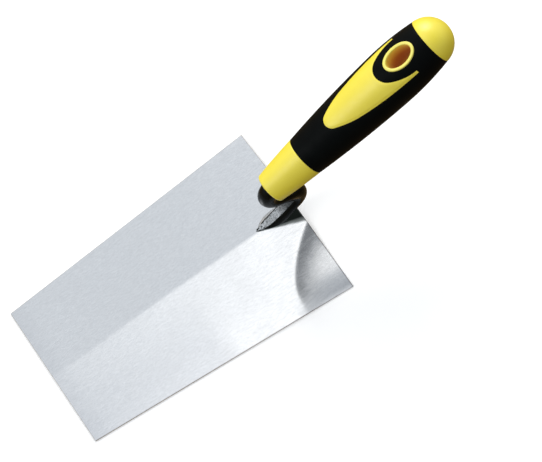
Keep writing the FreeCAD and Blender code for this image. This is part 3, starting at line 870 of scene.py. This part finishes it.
FERRULE_END = 29.2
BELLY = 97.0
GRIP_END = 128.2
BUTT_END = 142.0
RIM_RADIUS = 9.9
FERRULE_RADIUS = 12.9
BELLY_RADIUS = 17.2
GRIP_END_RADIUS = 15.0
FERRULE_BOW = 360.0
FRONT_GRIP_BOW = 790.0
REAR_GRIP_BOW = 175.0
RIM_ROUND = 1.2
GRIP_THICKNESS = 2.5
LIP_ROUND = 0.5
FERRULE_LIP = 0.4
LAND_ROOT = 1.5
LAND_BEFORE_NOSE = 5.0
LAND_PAST_HORNS = 2.0
SOCKET_RADIUS = 9.5
SPIGOT_RADIUS = 9.3
SOCKET_DEPTH = 4.0
TANG_CLEARANCE = 0.15
MOUTH_CHAMFER = 0.6
CAP_GAP = 0.15
CAP_ROUND = 0.5
HANDLE_SEGMENTS = 144


def on_handle(radius, station, turn):
    """A point of the handle: turn 0 is the top, a quarter turn is the left side."""
    out = TOP * cos(turn) + SIDE * sin(turn)
    return RIM + (ALONG * station + out * radius) * MM


def bowed(first, last, bow, station):
    """Radius at a station on the arc between two (radius, station) points."""
    (r0, s0), (r1, s1) = first, last
    chord = hypot(r1 - r0, s1 - s0)
    sag = sqrt(bow ** 2 - (chord / 2) ** 2)
    nx, ns = (s0 - s1) / chord, (r1 - r0) / chord
    centre_r = (r0 + r1) / 2 + nx * sag
    centre_s = (s0 + s1) / 2 + ns * sag
    return centre_r + sqrt(bow ** 2 - (station - centre_s) ** 2)


def skin_radius(station):
    """Radius of the handle's outer surface."""
    if station <= FERRULE_END:
        return bowed((RIM_RADIUS, RIM_ROUND), (FERRULE_RADIUS, FERRULE_END), FERRULE_BOW,
                     max(station, RIM_ROUND))
    if station <= BELLY:
        return bowed((FERRULE_RADIUS, FERRULE_END), (BELLY_RADIUS, BELLY), FRONT_GRIP_BOW,
                     station)
    return bowed((BELLY_RADIUS, BELLY), (GRIP_END_RADIUS, GRIP_END), REAR_GRIP_BOW,
                 min(station, GRIP_END))


def lathe(profile, shift=None):
    """Turns a closed profile of (radius, station) about the handle's axis.

    shift(radius, station, turn) may return a changed radius.
    """
    rings = [[on_handle(shift(radius, station, turn) if shift else radius, station, turn)
              for radius, station in profile] for turn in turns(HANDLE_SEGMENTS)]
    bm, _ = skin(rings, wrap=True)
    bmesh.ops.remove_doubles(bm, verts=bm.verts, dist=1e-7)
    return bm


# thumb window outline, in the plane seen from the top: (across, along)
NOSE_RADIUS = 5.5
NOSE_FLANK = (5.0, 57.0)
SHOULDER = (9.8, 71.5)
HORN_OUTSIDE = (13.0, 114.4)
HORN_INSIDE = (11.9, 114.4)
SADDLE_SIDE = (7.6, 98.4)
SADDLE_RADIUS = 9.1
SHOULDER_BOW = 65.0
FLANK_BOW = 220.0
HORN_BOW = 30.0
PRISM_REACH = BELLY_RADIUS * 1.6
OUTLINE_STEP = 0.35


def arc_between(first, last, radius):
    """Points on the short arc from first to last; a positive radius bows to the right."""
    (x0, y0), (x1, y1) = first, last
    chord = hypot(x1 - x0, y1 - y0)
    side = 1 if radius > 0 else -1
    middle_x, middle_y = (x0 + x1) / 2, (y0 + y1) / 2
    reach = sqrt(radius ** 2 - (chord / 2) ** 2) * side
    centre_x = middle_x - (y1 - y0) / chord * reach
    centre_y = middle_y + (x1 - x0) / chord * reach
    first_angle = atan2(y0 - centre_y, x0 - centre_x)
    sweep = 2 * asin(chord / 2 / abs(radius)) * side
    count = max(2, int(abs(sweep * radius) / OUTLINE_STEP))
    return [(centre_x + abs(radius) * cos(first_angle + sweep * t),
             centre_y + abs(radius) * sin(first_angle + sweep * t))
            for t in spread(0, 1, count + 1)[:-1]]


def window_outline():
    """The closed window outline: a teardrop whose two horns reach round the eyelet."""
    half = [NOSE_FLANK, SHOULDER, HORN_OUTSIDE, HORN_INSIDE, SADDLE_SIDE]
    other = [(-across, along) for across, along in reversed(half)]
    bows = [SHOULDER_BOW, FLANK_BOW, None, -HORN_BOW, -SADDLE_RADIUS, -HORN_BOW, None,
            FLANK_BOW, SHOULDER_BOW, NOSE_RADIUS]
    corners = half + other
    outline = []
    for first, last, bow in zip(corners, corners[1:] + corners[:1], bows):
        outline += arc_between(first, last, bow) if bow else [first]
    return outline


WINDOW = window_outline()


def window_distance(across, along):
    """Distance from a point to the window's outline."""
    nearest = 1e9
    for (x0, y0), (x1, y1) in zip(WINDOW, WINDOW[1:] + WINDOW[:1]):
        dx, dy = x1 - x0, y1 - y0
        t = clamp(((across - x0) * dx + (along - y0) * dy) / (dx * dx + dy * dy))
        nearest = min(nearest, hypot(across - x0 - dx * t, along - y0 - dy * t))
    return nearest


EYELET_HALF_LENGTH = 10.4
EYELET_HALF_WIDTH = 6.95
EYELET_WALL = 1.85
EYELET_SEGMENTS = 120
EYELET_LIP_POINTS = 17
LIP_SQUARENESS = 0.6
EYELET_PROUD = 0.7
GROOVE_WIDTH = 0.9
GROOVE_ALONG = (NOSE_FLANK[1] - 8, HORN_OUTSIDE[1] + 3)
GRIP_GROOVE = 0.30
LAND_PROUD = 0.3
LAND_GROOVE = 0.45


def groove(across, along):
    """1 at the window's outline, falling to 0 a groove's width away."""
    if not GROOVE_ALONG[0] <= along <= GROOVE_ALONG[1]:
        return 0.0
    distance = window_distance(across, along)
    if distance > GROOVE_WIDTH:
        return 0.0
    return (1 - distance / GROOVE_WIDTH) ** 2


def prism(outline, name):
    """A closed prism through the handle over an outline of (across, along) points."""
    rings = []
    for height in (-PRISM_REACH, PRISM_REACH):
        rings.append([RIM + (ALONG * along + SIDE * across + TOP * height) * MM
                      for across, along in outline])
    return finish_mesh(skin(rings, capped=True)[0], name, [])


def eyelet_oval(inset, count=96):
    """(across, along) points of the eyelet's oval, inset from its outside."""
    return [((EYELET_HALF_WIDTH - inset) * cos(turn),
             HOLE_STATION + (EYELET_HALF_LENGTH - inset) * sin(turn))
            for turn in turns(count)]


def cut(piece, tool, operation="DIFFERENCE"):
    """Applies a boolean with another object, which is left as it is."""
    modifier = piece.modifiers.new("cut", "BOOLEAN")
    modifier.operation = operation
    modifier.object = tool
    modifier.solver = "EXACT"
    graph = bpy.context.evaluated_depsgraph_get()
    mesh = bpy.data.meshes.new_from_object(piece.evaluated_get(graph))
    piece.modifiers.remove(modifier)
    old = piece.data
    piece.data = mesh
    bpy.data.meshes.remove(old)


def grooved(depth, below_skin):
    """A change for lathe(): a groove along the window's outline, in the outer skin only."""
    def shift(radius, station, turn):
        if radius < skin_radius(station) - below_skin:
            return radius
        return radius - depth * groove(radius * sin(turn), station)

    return shift


def rounded_corner(radius, station, round_radius, first_degrees, last_degrees, count=5):
    """Profile points of a rounding about a (radius, station) centre."""
    return [(radius + round_radius * cos(radians(angle)),
             station + round_radius * sin(radians(angle)))
            for angle in spread(first_degrees, last_degrees, count)]


def make_grip(rubber, window, eyelet_hole):
    """Soft sleeve, moulded over the core, with a groove round the window."""
    stations = spread(FERRULE_END + LIP_ROUND, GRIP_END - LIP_ROUND, 150)
    outer = [(skin_radius(station), station) for station in stations]
    front = rounded_corner(outer[0][0] - LIP_ROUND, stations[0], LIP_ROUND, -90, 0)
    rear = rounded_corner(outer[-1][0] - LIP_ROUND, stations[-1], LIP_ROUND, 0, 90)
    inner = [(skin_radius(station) - GRIP_THICKNESS, station)
             for station in spread(GRIP_END, FERRULE_END, 40)]
    profile = front[:-1] + outer + rear[1:] + inner
    piece = finish_mesh(lathe(profile, grooved(GRIP_GROOVE, LIP_ROUND)), "soft_grip", [rubber])
    cut(piece, window)
    cut(piece, eyelet_hole)
    bm = bmesh.new()
    bm.from_mesh(piece.data)
    shade_by_angle(bm, 45)
    bm.to_mesh(piece.data)
    bm.free()
    stand_for(piece, "grip_sleeve", mirrored=False)
    return piece


def make_core(yellow, window, eyelet_hole):
    """Handle moulding: ferrule, the waist under the grip, and the land in each window."""
    bore = BAR_RADIUS + TANG_CLEARANCE
    face_round = rounded_corner(RIM_RADIUS - RIM_ROUND, RIM_ROUND, RIM_ROUND, -90, 0, 8)
    ferrule = [(skin_radius(station), station) for station in
               spread(RIM_ROUND, FERRULE_END - 0.5, 40)][1:]
    lip = rounded_corner(skin_radius(FERRULE_END) - FERRULE_LIP, FERRULE_END - FERRULE_LIP,
                         FERRULE_LIP, 0, 90)
    waist = [(skin_radius(station) - GRIP_THICKNESS, station)
             for station in spread(FERRULE_END, GRIP_END, 60)]
    end = [(SOCKET_RADIUS, GRIP_END), (SOCKET_RADIUS, GRIP_END - SOCKET_DEPTH),
           (0.0, GRIP_END - SOCKET_DEPTH), (0.0, SHANK_DEPTH), (bore, SHANK_DEPTH),
           (bore, MOUTH_CHAMFER)]
    mouth = [(bore + MOUTH_CHAMFER, 0.0)]
    profile = mouth + face_round + ferrule + lip[1:] + waist + end
    core = finish_mesh(lathe(profile), "core_blank", [yellow])

    first, last = NOSE_FLANK[1] - LAND_BEFORE_NOSE, HORN_OUTSIDE[1] + LAND_PAST_HORNS
    land_profile = [(skin_radius(station) + LAND_PROUD, station)
                    for station in spread(first, last, 120)]
    land_profile += [(skin_radius(station) - GRIP_THICKNESS - LAND_ROOT, station)
                     for station in spread(last, first, 30)]
    land = finish_mesh(lathe(land_profile, grooved(LAND_GROOVE, 0.0)), "land_blank", [yellow])
    cut(land, window, "INTERSECT")
    cut(land, eyelet_hole)
    cut(core, eyelet_hole)
    bm = bmesh.new()
    for blank in (core, land):
        bm.from_mesh(blank.data)
        bpy.data.objects.remove(blank)
    piece = finish_mesh(bm, "handle_moulding", [yellow], sharp_degrees=45)
    stand_for(piece, "handle_core", mirrored=False)
    return piece


def make_eyelet(yellow, bore_shade):
    """Oval liner of the hanging hole, its rounded rim standing a little out of the grip."""
    lip = EYELET_WALL / 2
    rings = []
    for turn in turns(EYELET_SEGMENTS):
        middle = ((EYELET_HALF_WIDTH - lip) * cos(turn),
                  HOLE_STATION + (EYELET_HALF_LENGTH - lip) * sin(turn))
        across_way = Vector(((EYELET_HALF_LENGTH - lip) * cos(turn),
                             (EYELET_HALF_WIDTH - lip) * sin(turn))).normalized()
        height = sqrt(skin_radius(middle[1]) ** 2 - middle[0] ** 2) + EYELET_PROUD - lip
        ring = []
        for end in (1, -1):
            for angle in spread(0, pi, EYELET_LIP_POINTS):
                # A squarish section: nearly flat on top, with rounded corners.
                way = copysign(abs(cos(angle)) ** LIP_SQUARENESS, cos(angle)) * end
                lift = height + lip * clamp(sin(angle)) ** LIP_SQUARENESS
                across = middle[0] + across_way.x * lip * way
                along = middle[1] + across_way.y * lip * way
                ring.append(RIM + (ALONG * along + SIDE * across + TOP * lift * end) * MM)
        rings.append(ring)
    bm, rows = skin(rings, wrap=True)
    inner_top = {row[EYELET_LIP_POINTS - 1] for row in rows}
    inner_foot = {row[EYELET_LIP_POINTS] for row in rows}
    for face in bm.faces:
        corners = set(face.verts)
        if corners & inner_top and corners & inner_foot:
            # the bore's inner wall carries the painted shade
            face.material_index = 1
    piece = finish_mesh(bm, "eyelet_ring", [yellow, bore_shade])
    stand_for(piece, "hang_eyelet", mirrored=False)
    return piece


def make_cap(yellow):
    """Domed end cap with a fine parting line where it meets the grip."""
    rise = BUTT_END - GRIP_END
    dome_radius = (GRIP_END_RADIUS ** 2 / rise + rise) / 2
    centre = BUTT_END - dome_radius
    edge_angle = asin((GRIP_END_RADIUS - CAP_ROUND * 0.4) / dome_radius)
    dome = [(dome_radius * sin(angle), centre + dome_radius * cos(angle))
            for angle in spread(edge_angle, 0, 48)]
    low = GRIP_END + CAP_GAP
    edge = rounded_corner(GRIP_END_RADIUS - CAP_ROUND, low + CAP_ROUND, CAP_ROUND, -90, 10, 6)
    foot = GRIP_END - SOCKET_DEPTH
    profile = [(0.0, foot), (SPIGOT_RADIUS, foot), (SPIGOT_RADIUS, low)] + edge + dome[2:]
    piece = finish_mesh(lathe(profile), "end_cap", [yellow], sharp_degrees=50)
    stand_for(piece, "butt_cap", mirrored=False)
    return piece


# ---------------- stage, light and camera

FLOOR_HALF_SIZE_M = 2.5
FLOOR_DROP = 0.2


def make_floor():
    bm = bmesh.new()
    bmesh.ops.create_grid(bm, x_segments=8, y_segments=8, size=FLOOR_HALF_SIZE_M)
    bmesh.ops.translate(bm, verts=bm.verts, vec=(0, 0, -FLOOR_DROP * MM))
    floor = finish_mesh(bm, "floor", [floor_paper()])
    # The floor is only seen: the light from below is the tent's own, softer and warmer.
    floor.visible_diffuse = False
    floor.visible_glossy = False


LIGHT_TARGET_M = Vector((0.06, 0, 0.04))
LIGHT_DISTANCE_M = 1.6
LIGHT_SIZE_M = 0.9


def area_light(name, direction, power, colour):
    """A round soft light that shines on the trowel from a direction."""
    data = bpy.data.lights.new(name, "AREA")
    data.shape = "DISK"
    data.size = LIGHT_SIZE_M
    data.energy = power
    data.color = colour
    light = new_object(name, data)
    way = Vector(direction).normalized()
    light.location = LIGHT_TARGET_M + way * LIGHT_DISTANCE_M
    light.rotation_mode = "QUATERNION"
    light.rotation_quaternion = way.to_track_quat("Z", "Y")


WALL_DIM = 0.46
WALL_BRIGHT = 0.86
FROM_BELOW = 0.45
PANEL_LEVEL = 1.12
FLAG_LEVEL = 0.57
WARM_FLOOR_LIGHT = (1.0, 0.66, 0.30)
COOL_CEILING_LIGHT = (0.935, 0.972, 1.01)
PANEL_LIGHT = (1.0, 0.982, 0.955)
# Each part of the tent is where its ramps overlap, each (direction, from, to, first level,
# last level); the directions are X towards the handle, Y to the left and Z up.
WALLS = (("Y", -0.7, 0.25, WALL_DIM, WALL_BRIGHT), ("Z", -0.2, 0.15, FROM_BELOW, 1))
PANEL = (("Y", 0.155, 0.30, 1, 0), ("Y", 0.03, 0.15, 0, 1), ("X", 0.145, 0.185, 1, 0),
         ("X", -0.7, -0.4, 0, 1), ("Z", 0.60, 0.80, 0, 1))
FLAG = (("X", 0.145, 0.185, 0, 1), ("X", 0.42, 0.55, 1, 0), ("Y", 0.30, 0.45, 1, 0),
        ("Z", 0.70, 0.85, 0, 1))
ABOVE = (("Z", -0.35, 0.25, 0, 1),)


def make_world():
    """Studio tent: pale left wall, dim right wall, and a bright panel beside a dark flag."""
    world = bpy.data.worlds.new("studio")
    bpy.context.scene.world = world
    world.use_nodes = True
    parts = parts_of(world, add_node(world, "ShaderNodeTexCoord").outputs["Generated"])

    def overlap(ramps):
        levels = [ranged(world, parts[axis], *limits, interpolation_type="SMOOTHSTEP")
                  for axis, *limits in ramps]
        shape = levels[0]
        for level in levels[1:]:
            shape = multiply(world, shape, level)
        return shape

    panel = overlap(PANEL)
    level = add(world, overlap(WALLS), multiply(world, panel, PANEL_LEVEL))
    level = calculate(world, "SUBTRACT", level, multiply(world, overlap(FLAG), FLAG_LEVEL))
    tint = blend_colour(world, overlap(ABOVE), WARM_FLOOR_LIGHT, COOL_CEILING_LIGHT)
    background = world.node_tree.nodes["Background"]
    link(world, level, background, "Strength")
    link(world, blend_colour(world, panel, tint, PANEL_LIGHT), background, "Color")


CAMERA_AZIMUTH = -16.45
CAMERA_ELEVATION = 70.21
CAMERA_ROLL = -18.90
CAMERA_TARGET_M = Vector((0.0662, -0.0133, 0.0328))
CAMERA_DISTANCE_M = 1.190
CAMERA_LENS = 132.84
CAMERA_SENSOR = 36.0
CAMERA_NEAR_M = 0.05


def make_camera():
    data = bpy.data.cameras.new("camera")
    data.lens = CAMERA_LENS
    data.sensor_width = CAMERA_SENSOR
    data.clip_start = CAMERA_NEAR_M
    camera = new_object("camera", data)
    azimuth, elevation = radians(CAMERA_AZIMUTH), radians(CAMERA_ELEVATION)
    back = Vector((sin(azimuth) * cos(elevation),
                   -cos(azimuth) * cos(elevation), sin(elevation)))
    level = (-back).cross(Vector((0, 0, 1))).normalized()
    up = back.cross(level)
    roll = radians(CAMERA_ROLL)
    right = level * cos(roll) + up * sin(roll)
    pose = Matrix((right, back.cross(right), back)).transposed().to_4x4()
    pose.translation = CAMERA_TARGET_M + back * CAMERA_DISTANCE_M
    camera.matrix_world = pose
    bpy.context.scene.camera = camera


# ---------------- assembly

YELLOW = plastic("yellow_plastic", (0.925, 0.785, 0.058), (0.88, 0.735, 0.040))
EYELET_YELLOW = plastic("eyelet_plastic", (0.95, 0.86, 0.16), (0.92, 0.82, 0.13))

window_tool = prism(WINDOW, "window_tool")
eyelet_tool = prism(eyelet_oval(0.0), "eyelet_tool")

make_blade(ground_steel())
WELD_METAL = weld_metal()
make_neck(black_lacquer(), bare_foot_steel(), WELD_METAL)
make_welds(WELD_METAL, scaled_weld())
make_core(YELLOW, window_tool, eyelet_tool)
make_grip(grip_rubber(), window_tool, eyelet_tool)
make_eyelet(EYELET_YELLOW, bore_painted_shade())
make_cap(YELLOW)
for tool in (window_tool, eyelet_tool):
    bpy.data.objects.remove(tool)

make_floor()
make_world()
area_light("key", (0.40, 0.70, 0.60), power=13.2, colour=(1.0, 0.995, 0.98))
area_light("fill", (-0.65, 0.05, 0.75), power=4.5, colour=(1.0, 1.0, 1.0))
make_camera()
bpy.context.scene.view_settings.view_transform = "Standard"
